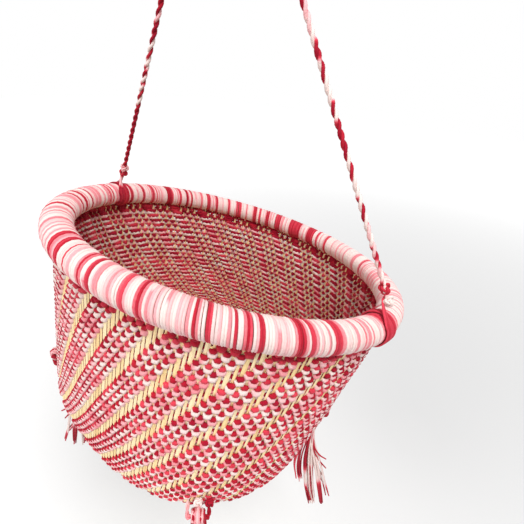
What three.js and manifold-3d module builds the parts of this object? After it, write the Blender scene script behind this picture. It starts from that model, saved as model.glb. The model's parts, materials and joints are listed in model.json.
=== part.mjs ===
// A palm basket that hangs on a cord. Its wall is woven of palm splints and yarn, from a round
// mouth down to a rounded square base. A yarn-wrapped hoop stiffens the rim, a twisted cord with
// a hanging loop is tied to the rim at two places, and a yarn tassel hangs at each base corner.
// Millimetres, +Z up. The origin is the place where a hook carries the hanging loop.
import * as THREE from 'three';
import { mergeVertices } from 'three/addons/utils/BufferGeometryUtils.js';
import Module from 'manifold-3d';

const wasm = await Module();
wasm.setup();

// Running gap between neighbouring pieces
const CLEARANCE = 0.3;

// Rim: a round hoop of palm fibre under a skin of wound yarn
const RIM_RADIUS = 115.5; // from the mouth's middle to the middle of the hoop
const RIM_THICKNESS = 17; // across the finished rim
const WRAP_THICKNESS = 2.2;

// Woven body
const WALL_THICKNESS = 3;
const BASKET_DEPTH = 128.5; // from the middle of the hoop to the underside
const BASE_HALF_WIDTH = 102.5; // from the middle to the flat of a side
const BASE_SQUARENESS = 2.5; // 2 is a circle, and more is squarer
const BASE_TURN = -4; // degrees that the square base is turned against the cord's ties
const BASE_EDGE_RADIUS = 6; // bend from the underside into the wall
const BASE_BAND = 11; // height at which the base's turned-up edge meets the wall

// Hanging cord
const CORD_DIAMETER = 3.5;
const LEG_LEFT = 216; // from the knot on the rim to the top knot
const LEG_RIGHT = 240;
const TIE_FORWARD_ANGLE = 11; // degrees that both ties sit in front of the rim's widest line
const TIE_INSET = 3; // knot centres lie this far inside the middle of the hoop
const RIM_KNOT_RISE = 20; // knot centres lie this far above the middle of the hoop
const RIM_KNOT_RADIUS = 3.8;
const TOP_KNOT_RADIUS = 4.4;
const TOP_KNOT_RISE = 6; // from where the legs meet to the top knot's flat top
const LOOP_WIDTH = 11; // clear width inside the hanging loop
const LOOP_HEIGHT = 18; // clear height inside the hanging loop

// Cord ties: each goes from its knot round the rim and back up to the knot
const TIE_CORD = 3;
const TIE_TURN_GAP = 3; // open gap between its turns
const TIE_TURNS = 2;

// Tassels round the base, each turning on a short bar of yarn
const TASSEL_ANGLES = [-49, 28, 131, 221]; // degrees, at or near the corners
const BAR_YARN = 2.6;
const BAR_BEND = 2;
const BAR_HEIGHT = 6; // above the underside
const TASSEL_KNOT_RADIUS = 5;
const TASSEL_KNOT_WIDTH = 8.4; // along the bar
const SKIRT_LENGTH = 125;
const SKIRT_TOP_RADIUS = 3.4;
const SKIRT_END_RADIUS = 7.5;
const SKIRT_STRANDS = 9;

// Centre of mass of the basket and its tassels, from the middle of the hoop. The basket hangs with
// this point straight under the hook.
const BALANCE_RIGHT = 1.3;
const BALANCE_BACK = 1.6;
const BALANCE_DROP = 68;

// Smoothness
const ROUND_STEPS = 72;
const WALL_STEPS = 5;
const BEND_STEPS = 3;
const TUBE_SIDES = 8;

// Sizes that follow from the ones above
const rimHalf = RIM_THICKNESS / 2;
const coreRadius = rimHalf - WRAP_THICKNESS - CLEARANCE;
const wallTop = -(coreRadius + CLEARANCE);
const wallBottom = BASE_BAND - BASKET_DEPTH;
const tieRadius = rimHalf + CLEARANCE + TIE_CORD / 2;
const tiePitch = TIE_CORD + TIE_TURN_GAP;
const cordRadius = CORD_DIAMETER / 2;
const hookRise = TOP_KNOT_RISE + CLEARANCE + LOOP_HEIGHT;

const radians = THREE.MathUtils.degToRad;

// Finishes
const palm = new THREE.MeshStandardMaterial({ color: 0xe3c98b, roughness: 0.8, metalness: 0 });
const fibre = new THREE.MeshStandardMaterial({ color: 0xb99a5e, roughness: 0.9, metalness: 0 });
const redYarn = new THREE.MeshStandardMaterial({ color: 0xbe1432, roughness: 0.9, metalness: 0 });
const pinkYarn = new THREE.MeshStandardMaterial({ color: 0xf0a5ae, roughness: 0.9, metalness: 0 });
const whiteYarn = new THREE.MeshStandardMaterial({ color: 0xf7f0ea, roughness: 0.9, metalness: 0 });

function piece(name, geometry, material) {
  const mesh = new THREE.Mesh(geometry, material);
  mesh.name = name;
  return mesh;
}

// A point of the basket's own frame: angle round the rim, distance from the axis, height
function polar(angle, radius, z) {
  return new THREE.Vector3(radius * Math.cos(angle), radius * Math.sin(angle), z);
}

// A closed skin through a list of rings. Each ring gives a point for an angle. A closed list
// joins its last ring to its first, and an open one ends in a single middle point at each end.
function ringSkin(rings, steps, closed) {
  const positions = [];
  const index = [];
  for (const ring of rings) {
    for (let i = 0; i < steps; i += 1) {
      positions.push(...ring((i / steps) * 2 * Math.PI).toArray());
    }
  }
  const bands = closed ? rings.length : rings.length - 1;
  for (let r = 0; r < bands; r += 1) {
    const low = r * steps;
    const high = ((r + 1) % rings.length) * steps;
    for (let i = 0; i < steps; i += 1) {
      const next = (i + 1) % steps;
      index.push(low + i, low + next, high + next);
      index.push(low + i, high + next, high + i);
    }
  }
  if (!closed) {
    const last = (rings.length - 1) * steps;
    const middles = [rings[0], rings[rings.length - 1]].map((ring) => {
      const centre = new THREE.Vector3();
      for (let i = 0; i < steps; i += 1) {
        centre.addScaledVector(ring((i / steps) * 2 * Math.PI), 1 / steps);
      }
      return centre;
    });
    const poles = [positions.length / 3, positions.length / 3 + 1];
    middles.forEach((centre) => positions.push(...centre.toArray()));
    for (let i = 0; i < steps; i += 1) {
      const next = (i + 1) % steps;
      index.push(poles[0], next, i);
      index.push(poles[1], last + i, last + next);
    }
  }
  const geometry = new THREE.BufferGeometry();
  geometry.setAttribute('position', new THREE.Float32BufferAttribute(positions, 3));
  geometry.setIndex(index);
  geometry.computeVertexNormals();
  return geometry;
}

// A round body turned about +Z from a profile of [radius, height] points
function turned(profile, steps) {
  const points = profile.map(([radius, height]) => new THREE.Vector2(radius, height));
  return new THREE.LatheGeometry(points, steps).rotateX(Math.PI / 2);
}

// Points of an arc about a centre, from one angle to another
function arc(centreX, centreY, radius, from, to, steps) {
  const points = [];
  for (let i = 0; i <= steps; i += 1) {
    const angle = from + ((to - from) * i) / steps;
    points.push([centreX + radius * Math.cos(angle), centreY + radius * Math.sin(angle)]);
  }
  return points;
}

// A round tube along a curve
function tube(curve, diameter, steps, sides = TUBE_SIDES) {
  const corners = arc(0, 0, diameter / 2, 0, 2 * Math.PI * (1 - 1 / sides), sides - 1);
  const section = new THREE.Shape(corners.map(([x, y]) => new THREE.Vector2(x, y)));
  return new THREE.ExtrudeGeometry(section, { extrudePath: curve, steps, bevelEnabled: false });
}

// A path of straight runs whose corners are rounded by a bend
function bentPath(points, bend) {
  const path = new THREE.CurvePath();
  let from = points[0];
  for (let i = 1; i < points.length - 1; i += 1) {
    const corner = points[i];
    const before = corner.clone().lerp(points[i - 1], bend / corner.distanceTo(points[i - 1]));
    const after = corner.clone().lerp(points[i + 1], bend / corner.distanceTo(points[i + 1]));
    path.add(new THREE.LineCurve3(from, before));
    path.add(new THREE.QuadraticBezierCurve3(before, corner, after));
    from = after;
  }
  path.add(new THREE.LineCurve3(from, points[points.length - 1]));
  return path;
}

// Solids for cutting
function toSolid(geometry) {
  const bare = geometry.clone();
  bare.deleteAttribute('normal');
  bare.deleteAttribute('uv');
  const merged = mergeVertices(bare, 1e-4);
  const mesh = new wasm.Mesh({
    numProp: 3,
    vertProperties: new Float32Array(merged.attributes.position.array),
    triVerts: new Uint32Array(merged.index.array),
  });
  return new wasm.Manifold(mesh);
}

function fromSolid(solid) {
  const mesh = solid.getMesh();
  const geometry = new THREE.BufferGeometry();
  geometry.setAttribute('position', new THREE.Float32BufferAttribute(mesh.vertProperties, 3));
  geometry.setIndex(new THREE.Uint32BufferAttribute(mesh.triVerts, 1));
  geometry.computeVertexNormals();
  return geometry;
}

// Outline of the body. The base is a superellipse with its corners turned to the diagonals, and
// the wall runs straight from it to the round rim, upright where it enters the rim.
const firstCorner = radians(BASE_TURN - 45);

function baseRadius(angle) {
  const fromSide = angle - firstCorner - Math.PI / 4;
  const across = Math.abs(Math.cos(fromSide)) ** BASE_SQUARENESS;
  const along = Math.abs(Math.sin(fromSide)) ** BASE_SQUARENESS;
  return BASE_HALF_WIDTH / (across + along) ** (1 / BASE_SQUARENESS);
}

function bodyRadius(angle, z) {
  const down = Math.max(0, (-z - rimHalf) / (BASKET_DEPTH - rimHalf));
  return THREE.MathUtils.lerp(RIM_RADIUS + WALL_THICKNESS / 2, baseRadius(angle), down);
}

function bodyRing(z, inset) {
  return (angle) => polar(angle, bodyRadius(angle, z) - inset, z);
}

// Where the cord is tied: the knots' middles in the basket's own frame
const tieAngles = {
  left: radians(180 + TIE_FORWARD_ANGLE),
  right: radians(-TIE_FORWARD_ANGLE),
};
const knotLeft = polar(tieAngles.left, RIM_RADIUS - TIE_INSET, RIM_KNOT_RISE);
const knotRight = polar(tieAngles.right, RIM_RADIUS - TIE_INSET, RIM_KNOT_RISE);

// The cord's two legs meet in the plane of both knots and the centre of mass, and the basket
// hangs with that centre straight under the meeting point.
const balance = new THREE.Vector3(BALANCE_RIGHT, BALANCE_BACK, -BALANCE_DROP);
const chord = knotRight.clone().sub(knotLeft);
const chordLength = chord.length();
const chordAxis = chord.clone().normalize();
const fromBalance = knotLeft.clone().sub(balance);
const legPlaneUp = fromBalance.addScaledVector(chordAxis, -fromBalance.dot(chordAxis)).normalize();
const alongChord = (LEG_LEFT ** 2 - LEG_RIGHT ** 2 + chordLength ** 2) / (2 * chordLength);
const aboveChord = Math.sqrt(LEG_LEFT ** 2 - alongChord ** 2);
const meeting = knotLeft
  .clone()
  .addScaledVector(chordAxis, alongChord)
  .addScaledVector(legPlaneUp, aboveChord);
const plumb = meeting.clone().sub(balance).normalize();
const sideways = chord.clone().addScaledVector(plumb, -chord.dot(plumb)).normalize();
const forwards = plumb.clone().cross(sideways);
const upright = new THREE.Matrix4().makeBasis(sideways, forwards, plumb).transpose();
const hook = meeting.clone().addScaledVector(plumb, hookRise);

const basket = new THREE.Group();
basket.quaternion.setFromRotationMatrix(upright);
basket.position.copy(hook.clone().applyMatrix4(upright).negate());
basket.updateMatrix();

// A point or a direction of the basket's own frame, as it hangs
function hung(point) {
  return point.clone().applyMatrix4(basket.matrix);
}

function hungDirection(direction) {
  return direction.clone().transformDirection(basket.matrix);
}

const part = new THREE.Group();
part.add(basket);

// Rim: the hoop, and its wound skin with a slot below for the top edge of the wall
function rimWrap() {
  const slotHalf = WALL_THICKNESS / 2 + CLEARANCE;
  const inner = rimHalf - WRAP_THICKNESS;
  const outerLip = Math.asin(slotHalf / rimHalf);
  const innerLip = Math.asin(slotHalf / inner);
  const down = -Math.PI / 2;
  const full = 2 * Math.PI;
  const outside = arc(RIM_RADIUS, 0, rimHalf, down + outerLip, down + full - outerLip, 12);
  const inside = arc(RIM_RADIUS, 0, inner, down + full - innerLip, down + innerLip, 12);
  return turned([...outside, ...inside, outside[0]], ROUND_STEPS);
}

const hoop = new THREE.TorusGeometry(RIM_RADIUS, coreRadius, TUBE_SIDES, ROUND_STEPS);
basket.add(piece('rim_core', hoop, fibre));
basket.add(piece('rim_wrap', rimWrap(), redYarn));

// Woven wall, with a slot under the rim at each place where a cord tie passes through
function wovenWall() {
  const edge = wallBottom + CLEARANCE;
  const outside = [];
  const inside = [];
  for (let i = 0; i <= WALL_STEPS; i += 1) {
    const z = THREE.MathUtils.lerp(edge, -rimHalf, i / WALL_STEPS);
    outside.push(bodyRing(z, 0));
    inside.unshift(bodyRing(z, WALL_THICKNESS));
  }
  const shell = ringSkin(
    [...outside, bodyRing(wallTop, 0), bodyRing(wallTop, WALL_THICKNESS), ...inside],
    ROUND_STEPS,
    true,
  );
  const slotWidth = (TIE_TURNS - 1) * tiePitch + TIE_CORD + 4 * CLEARANCE;
  const slotHeight = TIE_CORD + 3 * CLEARANCE;
  let solid = toSolid(shell);
  for (const angle of Object.values(tieAngles)) {
    const cutter = new THREE.BoxGeometry(4 * WALL_THICKNESS, slotWidth, slotHeight);
    cutter.translate(RIM_RADIUS, 0, -tieRadius);
    cutter.rotateZ(angle);
    solid = solid.subtract(toSolid(cutter));
  }
  return fromSolid(solid);
}

basket.add(piece('woven_wall', wovenWall(), palm));

// Woven base: a flat rounded square whose edge bends up to meet the wall
function wovenBase() {
  const edgeRing = (inset, step) => {
    const bend = (step / BEND_STEPS) * (Math.PI / 2);
    const bendRadius = BASE_EDGE_RADIUS - inset;
    const z = inset - BASKET_DEPTH + bendRadius * (1 - Math.cos(bend));
    return (angle) => {
      const leaning = bodyRadius(angle, z) - baseRadius(angle);
      const radius = baseRadius(angle) - BASE_EDGE_RADIUS + bendRadius * Math.sin(bend);
      return polar(angle, radius + leaning, z);
    };
  };
  const outside = [];
  const inside = [];
  for (let step = 0; step <= BEND_STEPS; step += 1) {
    outside.push(edgeRing(0, step));
    inside.unshift(edgeRing(WALL_THICKNESS, step));
  }
  const lip = [bodyRing(wallBottom, 0), bodyRing(wallBottom, WALL_THICKNESS)];
  return ringSkin([...outside, ...lip, ...inside], ROUND_STEPS, false);
}

basket.add(piece('woven_base', wovenBase(), palm));

// Cord ties: each is one unbroken cord. It comes straight down from the knot, touches the rim's
// outer side, goes round the rim turn after turn, and rises straight back to the knot.
const knotOffset = new THREE.Vector2(-TIE_INSET, RIM_KNOT_RISE);
const touching = Math.acos(tieRadius / knotOffset.length());

function cordTie(middle) {
  const wound = TIE_TURNS * 2 * Math.PI - 2 * touching;
  const coils = Math.round(wound / (Math.PI / 6));
  const turns = [];
  for (let i = 0; i <= coils; i += 1) {
    const share = i / coils;
    const turn = knotOffset.angle() - touching - share * wound;
    const along = (share - 0.5) * (wound / (2 * Math.PI)) * tiePitch;
    const radius = RIM_RADIUS + tieRadius * Math.cos(turn);
    turns.push(polar(middle + along / RIM_RADIUS, radius, tieRadius * Math.sin(turn)));
  }
  const knot = polar(middle, RIM_RADIUS - TIE_INSET, RIM_KNOT_RISE);
  const ends = [turns[0], turns[coils]].map((touch) => {
    const down = touch.clone().sub(knot).normalize();
    const tip = knot.clone().addScaledVector(down, RIM_KNOT_RADIUS + CLEARANCE);
    return [tip, tip.clone().addScaledVector(down, TIE_CORD)];
  });
  return new THREE.CatmullRomCurve3([...ends[0], ...turns, ...ends[1].reverse()]);
}

// Least open gap between the turns of a wound tube, measured on points along it
function leastGap(curve, diameter, turnLength) {
  const spacing = 0.5;
  const count = Math.round(curve.getLength() / spacing);
  const points = curve.getSpacedPoints(count);
  const apart = Math.round(turnLength / 2 / spacing);
  let least = Infinity;
  for (let i = 0; i < points.length; i += 1) {
    for (let j = i + apart; j < points.length; j += 1) {
      least = Math.min(least, points[i].distanceTo(points[j]) - diameter);
    }
  }
  return least;
}

const tieSides = 6;
const stepsPerTurn = 24;
const turnLength = 2 * Math.PI * tieRadius;
for (const [side, angle] of Object.entries(tieAngles)) {
  const route = cordTie(angle);
  console.log(`rim_tie_${side}: least gap ${leastGap(route, TIE_CORD, turnLength).toFixed(2)} mm`);
  const steps = Math.round((route.getLength() / turnLength) * stepsPerTurn);
  const geometry = tube(route, TIE_CORD, steps, tieSides);
  basket.add(piece(`rim_tie_${side}`, geometry, side === 'left' ? redYarn : whiteYarn));
}

// Hanging cord, from the knot on each rim tie up to the top knot and its loop
const meetingHung = new THREE.Vector3(0, 0, -hookRise);

// A round knot with two shallow grooves where the cord crosses itself
function rimKnot() {
  const groove = 0.93;
  const last = 9;
  const profile = arc(0, 0, RIM_KNOT_RADIUS, -Math.PI / 2, Math.PI / 2, last);
  const grooved = profile.map(([radius, height], i) => {
    const share = i === last / 3 || i === (2 * last) / 3 ? groove : 1;
    return i === 0 || i === last ? [0, height] : [radius * share, height * share];
  });
  return turned(grooved, 14);
}

const knots = { left: knotLeft, right: knotRight };
for (const [side, local] of Object.entries(knots)) {
  const low = hung(local);
  const direction = meetingHung.clone().sub(low).normalize();
  const start = low.clone().addScaledVector(direction, RIM_KNOT_RADIUS + CLEARANCE);
  const end = meetingHung.clone().addScaledVector(direction, -(TOP_KNOT_RADIUS + CLEARANCE));
  const steps = Math.round(start.distanceTo(end) / (3 * CORD_DIAMETER));
  const leg = tube(new THREE.LineCurve3(start, end), CORD_DIAMETER, steps);
  part.add(piece(`cord_leg_${side}`, leg, side === 'left' ? redYarn : whiteYarn));
  const knot = piece(`cord_knot_${side}`, rimKnot(), redYarn);
  knot.position.copy(low);
  knot.quaternion.setFromUnitVectors(new THREE.Vector3(0, 0, 1), direction);
  part.add(knot);
}

// Top knot: a round foot where the legs go in, and the wraps of the knot above it
function topKnot() {
  const foot = arc(0, 0, TOP_KNOT_RADIUS, -Math.PI / 2, 0, 4);
  const wraps = 2;
  const wrapHeight = TOP_KNOT_RISE / wraps;
  const profile = [[0, -TOP_KNOT_RADIUS], ...foot.slice(1)];
  for (let i = 0; i < wraps; i += 1) {
    const middle = wrapHeight * (i + 0.5);
    const round = wrapHeight / 2;
    const bulge = arc(TOP_KNOT_RADIUS - round, middle, round, -Math.PI / 2, Math.PI / 2, 4);
    profile.push(...bulge.slice(i === 0 ? 1 : 0));
  }
  profile.push([0, TOP_KNOT_RISE]);
  return turned(profile, 16);
}

const knotAtTop = piece('top_knot', topKnot(), redYarn);
knotAtTop.position.copy(meetingHung);
part.add(knotAtTop);

// Hanging loop: rises side by side out of the knot, widens, and closes over the hook
function hangingLoop() {
  const foot = -LOOP_HEIGHT;
  const footHalf = cordRadius + CLEARANCE;
  const half = LOOP_WIDTH / 2 + cordRadius;
  const shoulder = -LOOP_WIDTH / 2;
  const side = (sign) => [
    new THREE.Vector3(sign * footHalf, 0, foot),
    new THREE.Vector3(sign * footHalf, 0, foot + CORD_DIAMETER),
    new THREE.Vector3(sign * half, 0, shoulder - CORD_DIAMETER),
  ];
  const top = arc(0, shoulder, half, Math.PI, 0, 8).map(([x, z]) => new THREE.Vector3(x, 0, z));
  return new THREE.CatmullRomCurve3([...side(-1), ...top, ...side(1).reverse()], false, 'centripetal');
}

part.add(piece('top_loop', tube(hangingLoop(), CORD_DIAMETER, 28), whiteYarn));

// Tassels. A bar of yarn is held off the basket by its two ends, and the tassel's knot turns on
// the bar, with its strands hanging straight down from it.
const barHalf = TASSEL_KNOT_WIDTH / 2 + 2 * CLEARANCE + BAR_YARN / 2;
const barOut = TASSEL_KNOT_RADIUS + 3 * CLEARANCE;
const barZ = BAR_HEIGHT - BASKET_DEPTH;

function cornerTie(angle) {
  const wall = bodyRadius(angle, barZ);
  const along = polar(angle + Math.PI / 2, barHalf, 0);
  const near = polar(angle, wall + CLEARANCE, barZ);
  const far = polar(angle, wall + barOut, barZ);
  const route = [near.clone().sub(along), far.clone().sub(along), far.add(along), near.add(along)];
  return bentPath(route, BAR_BEND);
}

function tasselKnot() {
  const bore = BAR_YARN / 2 + CLEARANCE;
  const half = TASSEL_KNOT_WIDTH / 2;
  const crown = Math.asin(half / TASSEL_KNOT_RADIUS);
  const outside = arc(0, 0, TASSEL_KNOT_RADIUS, -crown, crown, 6);
  return turned([[bore, -half], ...outside, [bore, half], [bore, -half]], 16);
}

// Strands in one fluted bundle, widening to its loose ends
function tasselSkirt() {
  const top = -(TASSEL_KNOT_RADIUS + CLEARANCE);
  const flute = 0.1; // depth of the grooves between strands, as a share of the radius
  const widest = 0.45; // share of the length where the bundle reaches its full width
  const ends = 0.82; // the cut ends draw in to this share of the width
  const levels = [0, 0.06, 0.16, 0.3, widest, 0.7, 0.95, 1];
  const rings = levels.map((share) => {
    const swell = Math.sin(Math.min(1, share / widest) * (Math.PI / 2));
    const full = THREE.MathUtils.lerp(SKIRT_TOP_RADIUS, SKIRT_END_RADIUS, swell);
    const radius = share === 1 ? full * ends : full;
    return (angle) => {
      const grooved = radius * (1 + flute * Math.cos(angle * SKIRT_STRANDS));
      return polar(-angle, grooved, top - share * SKIRT_LENGTH);
    };
  });
  return ringSkin(rings, 3 * SKIRT_STRANDS, false);
}

TASSEL_ANGLES.forEach((degrees, i) => {
  const number = i + 1;
  const angle = radians(degrees);
  basket.add(piece(`corner_tie_${number}`, tube(cornerTie(angle), BAR_YARN, 16, tieSides), redYarn));
  const middle = hung(polar(angle, bodyRadius(angle, barZ) + barOut, barZ));
  const barAxis = hungDirection(polar(angle + Math.PI / 2, 1, 0));
  const knot = piece(`tassel_knot_${number}`, tasselKnot(), i % 2 ? redYarn : pinkYarn);
  knot.position.copy(middle);
  knot.quaternion.setFromUnitVectors(new THREE.Vector3(0, 0, 1), barAxis);
  const skirt = piece(`tassel_skirt_${number}`, tasselSkirt(), i % 2 ? pinkYarn : redYarn);
  skirt.position.copy(middle);
  part.add(knot, skirt);
});

export default part;
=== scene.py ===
# A palm basket on a hanging cord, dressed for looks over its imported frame. Metres, +Z up. The
# origin is the place where a hook carries the hanging loop.
import json
import math

import bpy
import numpy as np
from mathutils import Matrix, Vector


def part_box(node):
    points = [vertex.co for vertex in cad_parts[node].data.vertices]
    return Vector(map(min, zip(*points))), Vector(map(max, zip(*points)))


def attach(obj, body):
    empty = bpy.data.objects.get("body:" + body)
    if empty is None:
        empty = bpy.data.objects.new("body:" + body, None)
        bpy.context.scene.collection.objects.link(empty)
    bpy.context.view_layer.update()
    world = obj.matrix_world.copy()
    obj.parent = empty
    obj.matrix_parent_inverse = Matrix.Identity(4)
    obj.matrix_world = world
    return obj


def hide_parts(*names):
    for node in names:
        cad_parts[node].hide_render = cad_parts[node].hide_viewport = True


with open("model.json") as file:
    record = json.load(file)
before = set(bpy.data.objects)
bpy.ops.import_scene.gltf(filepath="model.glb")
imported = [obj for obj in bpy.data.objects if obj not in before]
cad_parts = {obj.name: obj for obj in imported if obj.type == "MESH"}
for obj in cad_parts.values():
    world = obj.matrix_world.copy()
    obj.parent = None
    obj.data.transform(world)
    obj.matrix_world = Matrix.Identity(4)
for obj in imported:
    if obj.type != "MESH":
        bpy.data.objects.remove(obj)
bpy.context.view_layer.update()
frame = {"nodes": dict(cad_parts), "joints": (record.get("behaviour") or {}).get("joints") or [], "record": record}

# Camera. It looks a little down into the mouth from close by, so the near side of the rim swells
# and the cord's legs run out of the picture. Its place is given from the middle of the hoop, in
# the basket's own frame: right along the line through both ties, back, and up along its axis.
BASKET_DEPTH = 0.1285
CAMERA_TURN = math.radians(31.2)
CAMERA_PLACE = Vector((0, -0.23286, 0.07428))
CAMERA_RIGHT = Vector((0.95879, 0.01273, 0.28383))
CAMERA_UP = Vector((-0.27035, 0.34802, 0.89766))
CAMERA_LENS = 22.167

joint_of = {joint["name"]: joint for joint in frame["joints"]}
mount_of = {mount["name"]: mount for mount in frame["record"]["mounts"]}
right = Vector(joint_of["basket_swing"]["axis"]).normalized()
up = -Vector(mount_of["base_underside"]["axis"]).normalized()
back = up.cross(right)
hoop_middle = Vector(mount_of["base_underside"]["pos_m"]) + up * BASKET_DEPTH
basket_axes = Matrix((right, back, up)).transposed()

camera_data = bpy.data.cameras.new("camera")
camera_data.lens = CAMERA_LENS
camera_data.clip_start = 0.01
camera = bpy.data.objects.new("camera", camera_data)
bpy.context.scene.collection.objects.link(camera)
camera_axes = Matrix((CAMERA_RIGHT, CAMERA_UP, CAMERA_RIGHT.cross(CAMERA_UP))).transposed()
turned = basket_axes @ Matrix.Rotation(CAMERA_TURN, 3, "Z")
camera.matrix_world = Matrix.Translation(hoop_middle + turned @ CAMERA_PLACE) @ (
    turned @ camera_axes
).to_4x4()
bpy.context.scene.camera = camera
bpy.context.scene.view_settings.view_transform = "Standard"


# Floor and light. A plain white studio: a pale floor under the tassels, a large soft lamp in front
# on the left, a smaller and stronger one high on the right, and an even white sky.
def linear(hex_colour):
    """An sRGB hex colour as the linear one that a socket takes."""
    channels = [int(hex_colour[i : i + 2], 16) / 255 for i in (1, 3, 5)]
    return (*[c / 12.92 if c <= 0.04045 else ((c + 0.055) / 1.055) ** 2.4 for c in channels], 1)


def add_node(tree, kind, links=None, **settings):
    """A node of that kind. links gives its inputs, by name or number: a socket or a value."""
    node = tree.nodes.new(kind)
    for name, value in settings.items():
        setattr(node, name, value)
    for name, source in (links or {}).items():
        if isinstance(source, bpy.types.NodeSocket):
            tree.links.new(source, node.inputs[name])
        else:
            node.inputs[name].default_value = source
    return node


def new_material(name, settings):
    """A material with only its output and its shader, set as given."""
    material = bpy.data.materials.new(name)
    material.use_nodes = True
    tree = material.node_tree
    tree.nodes.clear()
    shader = add_node(tree, "ShaderNodeBsdfPrincipled", settings)
    add_node(tree, "ShaderNodeOutputMaterial", {"Surface": shader.outputs[0]})
    return material, tree, shader


FLOOR_HEIGHT = -0.72
FLOOR_HALF = 6.0
FLOOR_WHITE = "#E0E0E0"
FLOOR_LIFT = (0.06, 0.63)  # white that only the camera sees, near and far, so no horizon shows; least near one spot, so a painted shade lies round it
FLOOR_LIFT_FROM = (0.05, 1.9)  # how far from the middle of the painted shade, right of the basket and behind it
PAINTED_SHADE_SPOT = (0.2, 0.35, FLOOR_HEIGHT)
SKY_WHITE = "#FFFFFF"
SKY_STRENGTH = 0.5
# Each lamp: its place from the hoop's middle, its width and its power in watts
LAMPS = {
    "front_lamp": ((-0.45, -1.15, 0.4), 1.0, 8.6),
    "top_lamp": ((0.62, -0.22, 1.12), 0.6, 15.5),
}

# Painted paper: matt, with the object's shadow on it and a painted shade round one spot, where its camera-only
# white is least
paper, tree, shader = new_material(
    "white_painted_paper",
    {
        "Base Color": linear(FLOOR_WHITE), "Roughness": 0.9, "Specular IOR Level": 0.1,
        "Emission Color": linear(SKY_WHITE),
    },
)
path = add_node(tree, "ShaderNodeLightPath")
spot = add_node(tree, "ShaderNodeTexCoord")
# Painted shade: the floor's camera-only white grows with the distance from one spot right of the basket
distance = add_node(
    tree, "ShaderNodeVectorMath", {0: spot.outputs["Object"], 1: PAINTED_SHADE_SPOT}, operation="DISTANCE"
)
lift = add_node(
    tree, "ShaderNodeMapRange",
    {
        "Value": distance.outputs["Value"],
        "From Min": FLOOR_LIFT_FROM[0],
        "From Max": FLOOR_LIFT_FROM[1],
        "To Min": FLOOR_LIFT[0],
        "To Max": FLOOR_LIFT[1],
    },
)
lift = add_node(
    tree, "ShaderNodeMath", {0: path.outputs["Is Camera Ray"], 1: lift.outputs[0]},
    operation="MULTIPLY",
)
tree.links.new(lift.outputs[0], shader.inputs["Emission Strength"])
corners = [
    (x * FLOOR_HALF, y * FLOOR_HALF, FLOOR_HEIGHT) for x, y in ((-1, -1), (1, -1), (1, 1), (-1, 1))
]
floor_mesh = bpy.data.meshes.new("floor")
floor_mesh.from_pydata(corners, [], [(0, 1, 2, 3)])
floor_mesh.materials.append(paper)
floor = bpy.data.objects.new("floor", floor_mesh)
bpy.context.scene.collection.objects.link(floor)

world = bpy.data.worlds.new("white_studio")
bpy.context.scene.world = world
world.use_nodes = True
tree = world.node_tree
tree.nodes.clear()
path = add_node(tree, "ShaderNodeLightPath")
seen = path.outputs["Is Camera Ray"]
for ray in ("Is Glossy Ray", "Is Transmission Ray"):
    links = {0: seen, 1: path.outputs[ray]}
    seen = add_node(tree, "ShaderNodeMath", links, operation="MAXIMUM").outputs[0]
strength = add_node(
    tree, "ShaderNodeMapRange", {"Value": seen, "To Min": SKY_STRENGTH, "To Max": 1.0}
)
sky = add_node(
    tree, "ShaderNodeBackground", {"Color": linear(SKY_WHITE), "Strength": strength.outputs[0]}
)
add_node(tree, "ShaderNodeOutputWorld", {"Surface": sky.outputs[0]})

for name, (place, size, power) in LAMPS.items():
    lamp_data = bpy.data.lights.new(name, "AREA")
    lamp_data.size = size
    lamp_data.energy = power
    lamp = bpy.data.objects.new(name, lamp_data)
    bpy.context.scene.collection.objects.link(lamp)
    lamp.location = hoop_middle + Vector(place)
    lamp.rotation_euler = Vector(place).to_track_quat("Z", "Y").to_euler()


# Hanging cord. Two plies of space-dyed cotton yarn twisted together, 3.5 mm thick. Its left leg
# and its right leg each run taut from the knot over a rim tie to the top knot.
CORD_DIAMETER = 0.0035
CORD_LAY = 0.0105  # length of one full twist
PLY_WIDTH = 0.54  # of one ply, as a share of the cord's diameter
PLY_OFFSET = 0.215  # of a ply's middle from the cord's, as a share of the diameter
LEGS = {"left": 0.216, "right": 0.240}
LEG_POINTS = 241  # points along each leg's route
TOP_KNOT_RISE = 0.006  # of the top knot over the place where the legs meet
DYE_PATCH = 0.012
PATCH_LENGTHS = (0.4, 1.6)  # as shares of the usual patch
DYE_TONES = (0.04, 0.3, 0.95)  # white, pink and red
DYE_ODDS = (0.45, 0.15, 0.4)
DYE_SPREAD = 0.05  # how far a patch may be from its tone
DYE_SOFT = 0.0012  # half the length over which one tone turns to the next
DYE_SEED = 5
# Odds of white, pink and red in each ply: the left leg is mostly red, the right one half and half
LEG_ODDS = {
    "left": ((0.12, 0.1, 0.78), (0.28, 0.14, 0.58)),
    "right": ((0.3, 0.1, 0.6), (0.5, 0.15, 0.35)),
}
YARN_WHITE = "#EDD8D2"
YARN_PINK = "#EFACB0"
YARN_CORAL = "#DB4658"
YARN_RED = "#B0152B"
YARN_CRIMSON = "#9A0828"
YARN_TWISTS = 400.0  # ridges in a metre of yarn, one each 2.5 mm
FUZZ_SCALE = 900.0  # tufts of about 1 mm, because real fibres are too fine to show

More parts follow.
